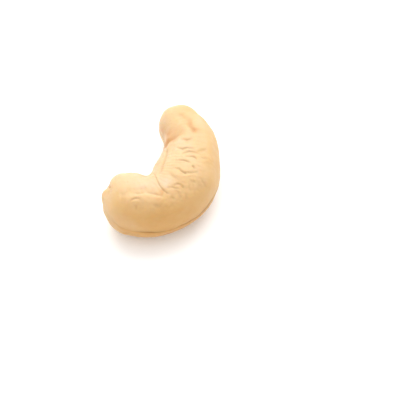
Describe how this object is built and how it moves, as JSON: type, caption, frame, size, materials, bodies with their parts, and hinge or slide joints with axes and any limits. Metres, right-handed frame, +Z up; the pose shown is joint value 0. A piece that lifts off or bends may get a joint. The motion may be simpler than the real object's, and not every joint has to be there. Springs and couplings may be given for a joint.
{
  "type": "shelled cashew kernel",
  "caption": "Whole shelled cashew kernel, kidney-shaped and lying on its side: a broad and a narrow lobe curve round an open bay, with a seam round the edge and folds across the flanks.",
  "frame": {"origin": "on the surface the kernel lies on, under the middle of its box", "axes": "+X along the kernel's length towards its narrow end, +Y out of its hollow side, +Z up through its thickness"},
  "size_m": [0.028, 0.0168, 0.0108],
  "materials": {
    "kernel": "semi-matte waxy cream, darker orange-brown in the seam and folds"
  },
  "bodies": {
    "root": {"cashew_kernel": "kernel"}
  },
  "joints": []
}
